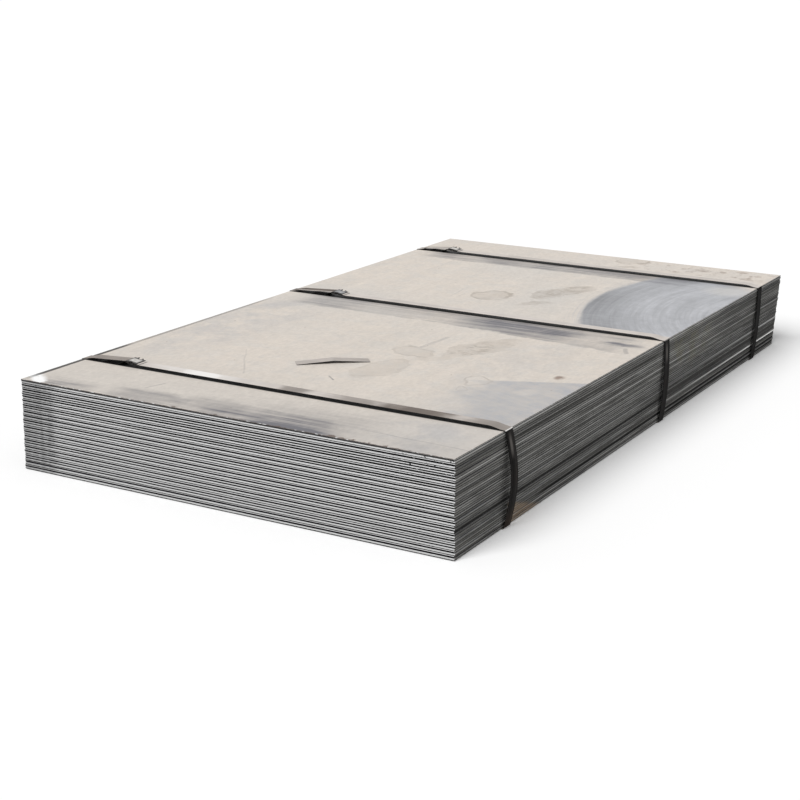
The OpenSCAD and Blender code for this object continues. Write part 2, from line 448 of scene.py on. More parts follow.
def side_colour(g, s, finish, own, wander, fine):
    """Dark mill edge with painted highlights and dark lines of breakaway and painted shade along
    it, and the share of painted ledge highlight.
    """
    other = g.math("FRACT", g.times(s.random, 31.0))
    grain = g.noise(g.join(g.times(s.x, 1.6), 0.0, g.times(s.z, 130.0)), 1.0, 3.0, shift=12.0)
    far = g.line(s.x, -0.2, 0.95, 0.0, 1.0)
    # Dark foot of each long edge, partly painted shade of the groove between sheets
    seam = g.step(s.share_z, g.between(other, 0.1, 0.3), g.between(other, 0.3, 0.5))
    # Painted highlight on the rolled crest of each long edge, on a random pick of sheets
    crest = g.times(g.step(s.share_z, 0.5, 0.66), g.step(s.share_z, 1.0, 0.94))
    shine = g.times(crest, g.step(g.plus(own, g.vary(wander, -0.35, 0.35)), 0.45, 0.85))
    upper = g.times(g.step(s.z, 0.10, 0.14), g.step(s.x, 0.6, 0.3))
    shaded = g.times(stretch(g, s.z, 0.052, 0.11, 0.012), g.step(s.x, -0.2, 0.2))
    level = g.times(
        g.between(own, 0.55, 1.15),
        g.vary(wander, 0.75, 1.25),
        g.vary(grain, 0.5, 1.55),
        g.vary(fine, 0.88, 1.12),
        g.between(upper, 0.88, 1.25),
        g.between(shaded, 1.0, 0.62),
    )
    blotch = g.noise(s.point, 16.0, 4.0, shift=9.0)
    olive = g.times(patch(g, s.x, s.z, *OLIVE_PATCH), g.step(blotch, 0.42, 0.62))
    tan = g.times(
        below(g, s.x, s.z, *TAN_LINE, 0.006),
        g.step(s.x, -0.78, -0.75),
        g.vary(blotch, 0.6, 1.0),
        g.step(s.y, 0.0, -0.1),
    )
    base = g.shade(finish.mill_side, level)
    base = g.mix(g.times(shine, g.between(upper, 0.35, 0.6)), base, finish.edge_highlight)
    base = g.mix(g.times(olive, 0.5), base, finish.olive)
    base = g.mix(seam, g.mix(far, finish.seam, finish.gap), base)
    base = g.shade(base, g.between(shaded, 1.0, 0.8))
    ledge_highlight_share = 0.0
    for name, bright in LEDGE_HIGHLIGHTS:
        height = middle_of(name).z
        past = g.line(s.x, -0.05, 0.95, 0.1 * bright, bright)
        # Painted highlight along the edge of the sheet that stands out
        edge = g.times(g.step(g.size(g.minus(s.z, height)), 0.003, 0.0022), past)
        # Painted shadow 5 mm beneath that edge
        dark = g.step(g.size(g.minus(s.z, height - 0.005)), 0.003, 0.002)
        ledge_highlight_share = g.most(edge, ledge_highlight_share)
        base = g.mix(edge, base, finish.edge_highlight)
        base = g.mix(g.times(dark, past, 0.9), base, finish.gap)
    # Painted shade along the open joints
    for height, start, end, strength in SHADED_SEAMS:
        dark = g.times(
            g.step(g.size(g.minus(s.z, height)), 0.004, 0.0026), stretch(g, s.x, start, end, 0.05)
        )
        base = g.mix(g.times(dark, strength), base, finish.gap)
    return g.mix(g.times(tan, 0.75), base, finish.tan), ledge_highlight_share


def edge_finish(g, s, finish, black):
    """Colour, roughness, metal share and relief of a sheet's edges, and the share of face."""
    end = g.step(g.size(s.nx), 0.2, 0.5)
    face = g.step(g.size(s.nz), 0.9, 0.98)
    along = g.blend(end, s.x, s.y)
    place = (along, g.times(s.random, 7.0), 0.0)
    wander = g.streaks(place, (1, 1, 1), 9.0, 1.3)
    fine = g.streaks(place, (1, 1, 1), 170.0, 2.1)
    own = g.math("FRACT", g.times(s.random, 17.0))
    bright, lit = end_colour(g, s, finish, black, own, wander, fine)
    side, ledge_highlight_share = side_colour(g, s, finish, own, wander, fine)
    base = g.mix(end, side, bright)
    rough = g.blend(end, 0.6, 0.5)
    # The painted ledge highlight also gets a metal share
    metal = g.blend(end, g.times(ledge_highlight_share, 0.55), g.times(lit, 0.25))
    return base, rough, metal, g.times(fine, 0.5), face


def mill_face(g, s, finish):
    """Plain rolled face, as it shows between sheets that lie out of line."""
    rolled = g.streaks((s.x, s.y, s.z), (0.6, 14, 1), 3.0, 4.0)
    return g.mix(g.line(rolled, 0.35, 0.65, 0, 1), finish.oily, finish.bare)


def dress_sheets(finish):
    """Finishes of the sheets below the top one, by how dark their joints are."""
    for joint, black in (("dark", DARK_FOOT), ("half_dark", HALF_DARK_FOOT), ("faint", FAINT_FOOT)):
        material, g = new_material(f"sheared_steel_{joint}_joint")
        s = Surface(g)
        edge, rough, metal, relief, face = edge_finish(g, s, finish, black)
        base = g.mix(face, edge, mill_face(g, s, finish))
        g.finish(base, rough, metal, relief, EDGE_RELIEF, EDGE_MIRROR)
        wear([name for name in SHEETS[:-1] if joint_foot(name) == black], material)


# Finish of the top face

STAINS = (
    # box across the sheet, soft ends, level
    ((-1.03, -0.945, 0.36, 0.50), (0.02, 0.04), 0.3),
    ((-1.03, -0.93, 0.08, 0.31), (0.022, 0.06), 0.42),
    ((-1.03, -0.91, -0.26, 0.12), (0.03, 0.07), 0.58),
    ((-1.03, -0.86, -0.33, -0.02), (0.05, 0.08), 0.26),
    ((-1.03, -0.93, -0.56, -0.30), (0.04, 0.08), 0.1),
    ((0.70, 0.82, 0.10, 0.47), (0.008, 0.05), 0.46),
    ((0.705, 0.82, -0.24, 0.14), (0.008, 0.05), 0.54),
    ((0.70, 0.82, -0.37, -0.12), (0.012, 0.06), 0.46),
)
HAZES = (
    # box where the dust is thin, soft ends, level
    ((-0.52, -0.02, 0.34, 0.56), (0.08, 0.06), 0.4),
    ((-0.70, -0.40, 0.38, 0.52), (0.08, 0.05), 0.25),
    ((-0.72, -0.10, -0.42, -0.27), (0.06, 0.05), 0.22),
    ((-1.02, -0.80, -0.52, -0.30), (0.05, 0.06), 0.45),
)
DARK_OVALS = (
    # middle, radii, turn, level
    ((-1.0, -0.17), (0.03, 0.09), 0.0, 1.0),
    ((-0.975, 0.44), (0.012, 0.06), 0.1, 0.4),
    ((-0.945, 0.20), (0.012, 0.09), 0.0, 0.35),
    ((-0.965, -0.04), (0.014, 0.10), 0.1, 0.35),
    ((0.755, 0.0), (0.026, 0.12), 0.1, 0.2),
    ((0.75, -0.19), (0.024, 0.08), 0.0, 0.15),
    ((0.02, 0.36), (0.035, 0.07), 0.0, 0.15),
    ((0.03, -0.14), (0.03, 0.10), 0.0, 0.4),
    ((0.06, -0.16), (0.014, 0.05), 0.0, 0.4),
    ((0.06, 0.08), (0.014, 0.13), 0.0, 0.45),
    ((0.01, -0.31), (0.03, 0.05), 0.2, 0.35),
    ((-0.015, -0.48), (0.013, 0.045), 0.0, 1.2),
)
FOOT_OVALS = (
    # middle, radii, turn, level
    ((-0.50, -0.09), (0.085, 0.04), -0.25, 0.4),
    ((-0.335, -0.078), (0.048, 0.043), 0.0, 0.35),
    ((-0.215, -0.20), (0.11, 0.042), -0.3, 0.6),
    ((-0.36, -0.15), (0.048, 0.022), -0.9, 0.4),
    ((0.315, 0.042), (0.055, 0.046), 0.0, 0.5),
    ((0.285, -0.105), (0.022, 0.042), 0.45, 0.75),
    ((0.262, -0.075), (0.022, 0.016), 0.0, 0.7),
    ((0.400, -0.083), (0.06, 0.034), -0.1, 0.85),
    ((0.485, -0.125), (0.07, 0.037), -0.45, 0.95),
    ((0.965, -0.11), (0.048, 0.043), 0.0, 0.5),
    ((0.865, -0.13), (0.02, 0.037), 0.3, 0.5),
)
FOOT_RINGS = (
    # middle, radii and turn of an outline, level
    ((-0.335, -0.078), (0.048, 0.043), 0.0, 0.6),
    ((0.315, 0.042), (0.056, 0.047), 0.0, 0.9),
    ((-0.50, -0.09), (0.086, 0.041), -0.25, 0.5),
    ((-0.215, -0.20), (0.112, 0.043), -0.3, 0.4),
    ((0.485, -0.125), (0.07, 0.037), -0.45, 0.5),
    ((0.400, -0.083), (0.06, 0.034), -0.1, 0.5),
    ((0.965, -0.11), (0.048, 0.043), 0.0, 0.8),
    ((-0.49, -0.325), (0.035, 0.026), 0.0, 0.6),
    ((-0.56, -0.335), (0.02, 0.016), 0.0, 0.5),
)
TREADS = (
    # middle, radii and turn of a print with ridges, level
    ((-0.245, -0.195), (0.07, 0.034), -0.3, 0.9),
    ((0.46, -0.11), (0.09, 0.042), -0.35, 0.75),
)
SCRATCHES = (
    # start, end, half width, level
    ((-0.515, 0.272), (-0.60, 0.222), 0.0024, 0.2),
    ((-0.60, 0.222), (-0.70, 0.158), 0.0028, 0.3),
    ((-0.645, -0.05), (-0.622, -0.022), 0.003, 0.8),
    ((-0.91, 0.268), (-0.865, 0.254), 0.0045, 0.4),
    ((0.515, 0.362), (0.69, 0.36), 0.0024, 0.2),
    ((0.24, 0.13), (0.345, 0.145), 0.0028, 0.2),
    ((0.25, 0.115), (0.30, 0.118), 0.0028, 0.18),
    ((-0.285, -0.076), (-0.17, -0.083), 0.009, 0.3),
    ((-0.045, -0.06), (-0.085, -0.46), 0.0035, 0.4),
    ((-0.033, 0.42), (-0.033, 0.16), 0.0045, 0.3),
    ((-0.085, -0.522), (-0.05, -0.508), 0.009, 0.5),
    ((-0.855, 0.05), (-0.835, -0.06), 0.0028, 0.2),
    ((-0.935, -0.30), (-0.94, -0.55), 0.0028, 0.5),
)
TREAD_RIDGE = 0.013
TREAD_SLANT = 0.4

# The cloth's arcs: their middle, outer radius, flattening along x, and sides along x
SWIRL_MIDDLE = (0.5, -0.85)
SWIRL_RADIUS = 0.638
SWIRL_FLAT = 0.85
SWIRL_SIDES = (0.115, 0.80)
SWIRL_TRAIL_SIDES = (0.12, 0.70)
SWIRL_LIGHT = ((0.70, -0.50), (0.05, 0.06), 0.0)

# The grey slab by the right edge: the line on its far side, and a dusty place in it
SLAB_LINE = ((-0.463, -0.365), (-0.388, -0.535))
SLAB_CLEARING = ((-0.512, -0.465), (0.022, 0.022), 0.0)

RUST_SPOT = ((-0.369, -0.4775), (0.013, 0.011), 0.0)
GRITTY_PATCH = ((0.865, 0.985, -0.54, -0.16), (0.02, 0.05))
CHALK_RUB = ((-0.992, 0.502), (-0.958, 0.538), 0.024)
# Outer and inner half widths of the painted shadow beneath each strap
STRAP_SHADOW = (0.0205, 0.0175)
LEFT_LINE = (0.015, 0.011)


class TopNoise:
    """Noises that the marks of the top face share, and a wavy place for their outlines."""

    def __init__(self, g, s):
        place = (s.x, s.y, s.z)
        self.x, self.y = wavy(g, s, 22.0, (0.007, 0.009), 1.0)
        self.cloud = g.noise(s.point, 2.6, 4.0, shift=3.0)
        self.blotch = g.noise(s.point, 11.0, 5.0, 0.6, shift=11.0)
        self.tint = g.noise(s.point, 18.0, 5.0, 0.65, shift=18.0)
        self.mottle = g.noise(s.point, 30.0, 5.0, 0.6, shift=4.0)
        self.grain = g.noise(s.point, 230.0, 2.0, shift=5.0)
        self.flecks = g.streaks(place, (1.0, 1.6, 1), 70.0, 17.0, detail=2.0)
        self.rolled = g.streaks(place, (0.7, 11, 1), 3.0, 7.0)
        self.wiped = g.streaks(place, (26, 1.4, 1), 3.0, 8.0, detail=6.0)


def swirl(g, x, y):
    """Arcs that a cloth has wiped: share of bare steel, dark rim, light and dark arcs in it."""
    dx, dy = g.times(g.minus(x, SWIRL_MIDDLE[0]), SWIRL_FLAT), g.minus(y, SWIRL_MIDDLE[1])
    radius = g.math("SQRT", g.plus(g.times(dx, dx), g.times(dy, dy)))
    angle = g.math("ARCTAN2", dy, dx)
    broad = g.noise(g.join(g.times(radius, 22.0), g.times(angle, 2.2)), 1.0, 3.0, 0.6, shift=6.0)
    thin = g.noise(g.join(g.times(radius, 120.0), g.times(angle, 2.0)), 1.0, 3.0, 0.6, shift=20.0)
    arcs = g.plus(g.times(broad, 0.55), g.times(thin, 0.45))
    edge = g.plus(radius, g.vary(broad, -0.012, 0.012))
    inside = g.times(
        g.step(edge, SWIRL_RADIUS + 0.008, SWIRL_RADIUS - 0.016),
        stretch(g, x, *SWIRL_SIDES, 0.015),
    )
    trail = g.times(
        g.step(edge, SWIRL_RADIUS + 0.05, SWIRL_RADIUS - 0.01),
        stretch(g, x, *SWIRL_TRAIL_SIDES, 0.02),
        g.step(thin, 0.42, 0.6),
    )
    rim = g.times(
        inside,
        g.step(radius, SWIRL_RADIUS - 0.16, SWIRL_RADIUS - 0.04),
        g.step(x, 0.66, 0.4, 0.45, 1.0),
    )
    fade = g.step(g.minus(x, g.times(y, 0.8)), 1.23, 1.13)
    return g.most(g.times(inside, fade), g.times(trail, 0.4)), g.times(rim, fade), arcs


def middle_band(g, x, y):
    """The stain by the middle strap: its near side is straight, then slants outwards."""
    slant = g.times(g.most(g.minus(0.03, y), 0.0), 0.1)
    side = g.minus(-0.042, slant)
    across = g.step(x, g.minus(side, 0.005), g.plus(side, 0.008))
    across = g.times(across, g.step(x, 0.115, 0.105))
    upper = stretch(g, y, 0.29, 0.42, 0.07)
    lower = stretch(g, y, -0.33, -0.03, 0.09)
    level = g.plus(0.3, g.plus(g.times(upper, 0.14), g.times(lower, 0.34)))
    return g.times(across, level, stretch(g, y, -0.50, 0.47, 0.05))


def oily_stains(g, n):
    """Stains along the straps and the near end, with their darkest places."""
    uneven = g.times(g.vary(n.wiped, 0.4, 1.5), g.vary(n.blotch, 0.6, 1.35))
    stain = marks(g, STAINS, lambda *shape: patch(g, n.x, n.y, *shape))
    stain = g.times(g.most(stain, middle_band(g, n.x, n.y)), uneven)
    dark = marks(g, DARK_OVALS, lambda *shape: oval(g, n.x, n.y, *shape, 0.7))
    return g.plus(stain, g.times(dark, g.line(n.wiped, 0.3, 0.65, 0.5, 1.0)))


def thin_dust(g, s, n):
    """The grey slab by the right edge, and hazes elsewhere."""
    slanted = (g.minus(s.x, g.times(s.y, 0.4)), s.y, s.z)
    rubbed = g.streaks(slanted, (18, 1.2, 1), 3.0, 23.0)
    slab = g.times(
        g.step(g.plus(n.y, g.vary(n.blotch, -0.06, 0.06)), -0.28, -0.43),
        below(g, s.x, s.y, *SLAB_LINE, 0.006),
        g.step(s.x, -0.765, -0.755, 0.2, 0.9),
        g.vary(n.mottle, 0.5, 1.1),
        g.vary(n.flecks, 0.75, 1.15),
        g.vary(rubbed, 0.75, 1.1),
        g.between(oval(g, n.x, n.y, *SLAB_CLEARING, 0.5), 1.0, 0.5),
    )
    hazes = marks(g, HAZES, lambda *shape: patch(g, n.x, n.y, *shape))
    return g.most(slab, g.times(hazes, g.step(n.blotch, 0.36, 0.65)))


def trodden_prints(g, s, n):
    """Prints of soles, with their outlines and ridges."""
    x, y = wavy(g, s, 17.0, (0.016, 0.014), 13.0, detail=2.0, rough=0.5)
    feet = marks(g, FOOT_OVALS, lambda *shape: oval(g, x, y, *shape, 0.22))
    feet = g.times(
        feet, g.line(n.mottle, 0.36, 0.6, 0.3, 1.15), g.line(n.flecks, 0.36, 0.64, 0.5, 1.15)
    )
    outlines = marks(g, FOOT_RINGS, lambda *shape: ring(g, x, y, *shape, 0.17))
    outlines = g.times(outlines, g.line(n.mottle, 0.35, 0.6, 0.15, 0.75))
    treads = marks(g, TREADS, lambda *shape: tread(g, x, s.y, *shape))
    treads = g.times(treads, g.step(n.mottle, 0.38, 0.55))
    return g.most(g.times(feet, 0.66), outlines, treads)


def scratch_marks(g, s, n):
    """Scratches, slightly bent and broken up."""
    x, y = wavy(g, s, 7.0, (0.005, 0.005), 15.0, detail=1.0)
    scratches = marks(g, SCRATCHES, lambda *shape: stroke(g, x, y, *shape))
    return g.times(scratches, g.line(n.mottle, 0.36, 0.6, 0.5, 1.0))


def rust_marks(g, s, n):
    """One rust spot, small specks and a gritty patch past the far strap."""
    spot = g.times(oval(g, n.x, n.y, *RUST_SPOT, 0.6), 0.7)
    cells = g.add("ShaderNodeTexVoronoi", {"Vector": s.point, "Scale": 34.0, "Randomness": 1.0})
    pick = g.step(g.split(cells.outputs["Color"])[0], g.line(s.x, 0.8, 0.9, 0.88, 0.7), 0.92)
    specks = g.times(pick, g.step(cells.outputs["Distance"], 0.09, 0.03))
    gritty = g.times(patch(g, n.x, n.y, *GRITTY_PATCH), g.step(n.mottle, 0.5, 0.64))
    return g.most(g.times(specks, 0.55), g.times(gritty, 0.45), spot)


def near_fringe(g, s):
    """Ragged rust along the near end."""
    ragged = g.noise(s.point, 45.0, 4.0, 0.6, shift=22.0)
    reach = g.line(ragged, 0.42, 0.68, -0.004, 0.012)
    reach = g.times(reach, stretch(g, s.y, -0.46, 0.16, 0.05))
    inward = g.minus(s.x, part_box(TOP_SHEET)[0].x)
    return g.step(g.minus(inward, reach), 0.002, -0.001)


def black_lines(g, s):
    """The dark line along the left edge, and a painted shadow beneath each strap."""
    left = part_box(TOP_SHEET)[1].y
    runs = g.most(
        stretch(g, s.x, -0.97, -0.62, 0.04), g.times(stretch(g, s.x, -0.62, -0.05, 0.06), 0.5)
    )
    edge = g.times(g.step(s.y, left - LEFT_LINE[0], left - LEFT_LINE[1]), runs)
    strap_shadow = 0.0
    for name in STRAPS:
        away = g.size(g.minus(s.x, middle_of(name).x))
        strap_shadow = g.most(g.step(away, *STRAP_SHADOW), strap_shadow)
    return g.most(g.times(edge, 0.9), strap_shadow)


def dust_colour(g, s, finish, n):
    """Dry dust, greyer in clouds and towards the near end."""
    near_end = g.step(s.x, -0.55, -0.95)
    dull = g.most(g.step(n.cloud, 0.45, 0.7), g.times(near_end, 0.6))
    dull = g.most(g.times(dull, 0.6), g.times(g.step(n.tint, 0.44, 0.62), 0.35))
    return g.shade(g.mix(dull, finish.dust, finish.dust_dull), g.times(
        g.vary(n.mottle, 0.96, 1.035),
        g.vary(n.flecks, 0.94, 1.055),
        g.vary(n.rolled, 0.97, 1.03),
        g.vary(n.grain, 0.97, 1.03),
        g.between(near_end, 1.0, 0.96),
    ))


def top_face(g, s, finish):
    """Colour, roughness, metal share and relief of the top face."""
    n = TopNoise(g, s)
    thin = thin_dust(g, s, n)
    scratches = scratch_marks(g, s, n)
    stain = g.most(oily_stains(g, n), g.times(scratches, 0.8))
    chalk = g.times(stroke(g, n.x, n.y, *CHALK_RUB), g.step(n.mottle, 0.3, 0.42))
    swept, rim, arcs = swirl(g, s.x, s.y)
    bare = g.times(g.vary(n.mottle, 0.94, 1.06), g.vary(n.flecks, 0.95, 1.05))
    bare = g.shade(finish.bare, bare)
    swept_steel = g.times(g.line(arcs, 0.35, 0.65, 0.8, 1.28), g.between(rim, 1.06, 0.7))
    swept_steel = g.shade(bare, swept_steel)
    light = oval(g, n.x, n.y, *SWIRL_LIGHT, 0.6)
    swept_steel = g.mix(g.times(light, 0.6), swept_steel, finish.dust_dull)

    dust = dust_colour(g, s, finish, n)
    base = g.mix(g.times(thin, g.minus(1.0, swept)), dust, bare)
    base = g.mix(swept, base, swept_steel)
    base = g.mix(trodden_prints(g, s, n), base, finish.print_mark)
    base = g.mix(stain, base, finish.oily)
    base = g.mix(rust_marks(g, s, n), base, finish.rust)
    base = g.mix(g.times(near_fringe(g, s), 0.75), base, g.shade(finish.rust, 0.5))
    base = g.mix(chalk, base, finish.chalk)
    # Dark line along the left edge, and painted shadow beneath the straps
    base = g.mix(black_lines(g, s), base, finish.gap)

    bare_share = g.most(swept, thin)
    clean = g.math("MINIMUM", g.most(bare_share, stain), 1.0)
    rough = g.blend(clean, g.vary(n.mottle, 0.6, 0.7), g.vary(n.wiped, 0.42, 0.55))
    metal = g.times(bare_share, 0.25)
    relief = g.plus(g.times(n.cloud, 1.5), g.times(scratches, -0.4))
    return base, rough, metal, g.plus(g.times(n.grain, 0.2), relief)


def dress_top_sheet(finish):
    """Dusty face of the top sheet, with its edges and their rolled rusty lip."""
    material, g = new_material("dusty_top_steel")
    s = Surface(g)
    black = joint_foot(TOP_SHEET)
    edge, edge_rough, edge_metal, edge_relief, face = edge_finish(g, s, finish, black)
    top, top_rough, top_metal, top_relief = top_face(g, s, finish)
    ragged = g.noise(s.point, 80.0, 4.0, shift=21.0)
    rolled = g.times(g.step(s.share_z, 0.66, 0.86), g.step(ragged, 0.36, 0.48))
    edge = g.mix(g.times(rolled, 0.9), edge, g.shade(finish.rust, 0.3))
    base = g.mix(face, edge, top)
    rough = g.blend(face, edge_rough, top_rough)
    metal = g.blend(face, edge_metal, top_metal)
    relief = g.blend(face, edge_relief, top_relief)
    g.finish(base, rough, metal, relief, TOP_RELIEF, TOP_MIRROR)
    wear([TOP_SHEET], material)


# Finish of the straps and seals

NEAR_BROWN = (
    # start and end along the near strap, soft ends, level
    (-0.60, -0.45, 0.04, 0.55),
    (-0.42, -0.25, 0.05, 0.82),
    (-0.25, -0.14, 0.04, 0.5),
    (-0.065, 0.0, 0.03, 0.55),
)
NEAR_WEAR_AND_SHEEN = (
    # start and end of the bright wear with a painted sky reflection along the near strap, soft
    # ends, level
    (0.165, 0.25, 0.03, 1.0),
    (0.10, 0.34, 0.05, 0.4),
)
LAP_BROWN = (
    # share of each strap's width that is brown past its seal, level
    (1.0, 0.6),
    (0.8, 0.85),
    (0.5, 0.4),
)

# A strap's lower end past its seal, painted black as shade: its run, where it reaches the sheet,
# and how high it lies
TAIL_RUN = (0.001, 0.088)
TAIL_DROP = 0.028
TAIL_ROOF = (0.0118, 0.006)


def shaded_lower_end(g, s, seal_end, middle):
    """The lower end of a lapped strap, which drops to the sheet past the seal; it is painted black
    as shade beneath the upper end.
    """
    past = g.minus(s.y, seal_end)
    roof = g.line(past, 0, TAIL_DROP, TOP_Z + TAIL_ROOF[0], TOP_Z + TAIL_ROOF[1])
    return g.times(
        stretch(g, past, *TAIL_RUN, 0.001),
        g.step(g.minus(s.z, roof), 0.0004, -0.0004),
        g.step(g.size(g.minus(s.x, middle)), 0.03, 0.02),
    )


def strap_top(g, s, finish, length, across):
    """Upper face of the straps in dust and a painted sky reflection, brown past the seals and in
    places on the near one, the lower ends past the seals in painted shade.
    """
    place = g.plus(s.y, g.vary(g.noise(s.point, 14.0, 4.0, shift=5.0), -0.03, 0.03))
    near = g.step(s.x, -0.68, -0.72)
    offcut = stretch(g, s.x, -0.62, -0.40, 0.01)
    brown = g.times(near, marks(g, NEAR_BROWN, lambda *run: stretch(g, place, *run)))
    # Bright stretch of the near strap: wear together with a painted sky reflection
    wear_and_glint = g.times(near, marks(g, NEAR_WEAR_AND_SHEEN, lambda *run: stretch(g, place, *run)))
    shaded_lower_ends = 0.0
    for strap, seal, (share, level) in zip(STRAPS, SEALS, LAP_BROWN):
        low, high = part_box(strap)
        seal_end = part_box(seal)[1].y
        start = high.x - share * (high.x - low.x)
        beside = g.times(
            g.step(s.y, seal_end - 0.001, seal_end + 0.004),
            g.step(s.x, start - 0.002, start + 0.002),
            g.step(s.x, high.x + 0.002, high.x),
        )
        brown = g.most(g.times(beside, level), brown)
        shaded_lower_ends = g.most(shaded_lower_end(g, s, seal_end, (low.x + high.x) / 2), shaded_lower_ends)
    top = g.shade(
        finish.strap_dust_and_sheen, g.times(g.vary(length, 0.88, 1.1), g.vary(across, 0.9, 1.07))
    )
    top = g.mix(wear_and_glint, top, finish.wear_and_glint)
    top = g.mix(g.times(offcut, 0.3), top, finish.strap_brown)
    top = g.mix(brown, top, g.shade(finish.strap_brown, g.vary(length, 0.75, 1.4)))
    return g.mix(shaded_lower_ends, top, finish.strap_edge_shade)


def dress_straps(finish):
    """Dark straps with upper faces in dust and a painted sky reflection, bends with wear and a
    painted glint, a painted highlight down the sides, and black narrow edges in painted shade.
    """
    material, g = new_material("waxed_strap")
    s = Surface(g)
    across = g.streaks((s.x, s.y, s.z), (18, 0.5, 0.5), 4.0, 1.0)
    length = g.streaks((s.x, s.y, s.z), (0.2, 1, 1), 14.0, 2.0)
    grain = g.noise(s.point, 260.0, 2.0, shift=3.0)
    upward = g.step(s.nz, 0.8, 0.97)
    # Narrow edges painted black as shade
    narrow = g.step(g.size(s.nx), 0.6, 0.8)
    # Painted glint at the top bends, partly bright wear
    bend = g.times(
        g.step(s.nz, 0.25, 0.5),
        g.step(s.nz, 0.97, 0.85),
        g.step(g.size(s.ny), 0.2, 0.4),
        g.step(s.z, TOP_Z - 0.006, TOP_Z - 0.003),
        g.step(s.x, 0.4, -0.6),
    )
    foot = g.times(g.step(s.z, 0.06, 0.01), g.step(s.x, -0.6, -0.7))
    brown = g.most(g.times(g.step(length, 0.5, 0.75), 0.3), g.times(foot, 0.8))
    dark = g.mix(brown, finish.strap, finish.strap_brown)
    dark = g.shade(dark, g.times(
        g.line(across, 0.35, 0.65, 0.4, 1.7),
        g.vary(grain, 0.9, 1.1),
        g.line(s.x, -0.8, 0.8, 0.8, 0.25),
    ))
    # Painted highlight down each strap side, just below its bend
    side_highlight = g.times(
        stretch(g, s.z, TOP_Z - 0.05, TOP_Z - 0.012, 0.014),
        stretch(g, s.share_x, 0.3, 0.62, 0.1),
        g.step(s.x, 0.4, 0.2),
    )
    dark = g.mix(g.times(side_highlight, 0.3), dark, finish.strap_dust_and_sheen)
    # Upper faces light: dust together with a painted sky reflection
    base = g.mix(upward, dark, strap_top(g, s, finish, length, across))
    base = g.mix(bend, base, finish.wear_and_glint)
    base = g.mix(narrow, base, finish.strap_edge_shade)
    rough = g.blend(upward, g.vary(length, 0.42, 0.55), 0.6)
    rough = g.blend(bend, rough, 0.3)
    relief = g.plus(g.times(across, 0.6), g.times(grain, 0.3))
    g.finish(base, rough, g.times(bend, 0.5), relief, STRAP_RELIEF, STRAP_MIRROR)
    wear([*STRAPS, OFFCUT], material)


def dress_seals(finish):
    """Dull zinc seals with scuffs, their sides and outline in painted shade. The middle one is
    blued.
    """
    material, g = new_material("dull_zinc")
    s = Surface(g)
    spangle = g.add("ShaderNodeTexVoronoi", {"Vector": s.point, "Scale": 220.0})
    flake = g.split(spangle.outputs["Color"])[0]
    scuffs = g.streaks((s.x, s.y, s.z), (1, 5, 3), 70.0, 2.0)
    upward = g.step(s.nz, 0.6, 0.9)
    # Outline of the top face painted dark as shade
    rim = g.most(
        g.step(g.size(g.minus(s.share_x, 0.5)), 0.22, 0.27),
        g.step(g.size(g.minus(s.share_y, 0.5)), 0.37, 0.42),
    )
    middle_one = stretch(g, s.x, -0.3, 0.4, 0.05)
    zinc = g.times(g.between(flake, 0.88, 1.1), g.line(scuffs, 0.35, 0.65, 0.75, 1.15))
    blued = g.shade(finish.seal_blue, g.line(scuffs, 0.35, 0.65, 0.7, 1.3))
    top = g.mix(g.times(middle_one, 0.7), g.shade(finish.seal, zinc), blued)
    top = g.mix(g.times(g.step(scuffs, 0.55, 0.66), 0.8), top, finish.seal_scuff)
    top = g.mix(g.times(rim, 0.9), top, finish.seal_side_shade)
    # Sides painted dark as shade, the top face lighter
    base = g.mix(upward, g.shade(finish.seal_side_shade, g.between(flake, 0.7, 1.2)), top)
    rough = g.between(flake, 0.38, 0.55)
    g.finish(base, rough, SEAL_METAL, g.times(scuffs, 0.5), SEAL_RELIEF, SEAL_MIRROR)
    wear(SEALS, material)


# Stage

WHITE = (1, 1, 1, 1)
FLOOR_SHOWN = (0.94, 0.94, 0.94, 1)
FLOOR_BOUNCE = (0.25, 0.25, 0.25, 1)
FLOOR_GLOW = 0.1
FLOOR_DROP = 0.0002


def set_camera(stage):
    """A camera that looks back along its own direction, turned by its roll."""
    a, e, r = stage.camera_azimuth, stage.camera_elevation, stage.camera_roll
    back = Vector((math.sin(a) * math.cos(e), -math.cos(a) * math.cos(e), math.sin(e)))
    right = Vector((math.cos(a), math.sin(a), 0))
    up = back.cross(right)
    x_axis = right * math.cos(r) + up * math.sin(r)
    y_axis = up * math.cos(r) - right * math.sin(r)
    data = bpy.data.cameras.new("camera")
    data.lens = stage.focal_px * data.sensor_width / IMAGE_SIDE
    data.clip_end = stage.floor_side * 2
    camera = bpy.data.objects.new("camera", data)
    turn = Matrix((x_axis, y_axis, back)).transposed().to_4x4()
    camera.matrix_world = Matrix.Translation(stage.camera_place) @ turn
    bpy.context.scene.collection.objects.link(camera)
    bpy.context.scene.camera = camera


def seen_ray(g):
    """One for rays that show a background: camera, glossy and transmission rays."""
    path = g.add("ShaderNodeLightPath").outputs
    return g.most(path["Is Camera Ray"], path["Is Glossy Ray"], path["Is Transmission Ray"])


def set_world(stage):
    """White where it shows, and a lower level of light on the bundle."""
    world = bpy.data.worlds.new("studio")
    world.use_nodes = True
    bpy.context.scene.world = world
    g = Graph(world.node_tree)
    strength = g.between(seen_ray(g), stage.ambient, 1.0)
    background = g.add("ShaderNodeBackground", {"Color": WHITE, "Strength": strength})
    g.add("ShaderNodeOutputWorld", (background.outputs[0],))


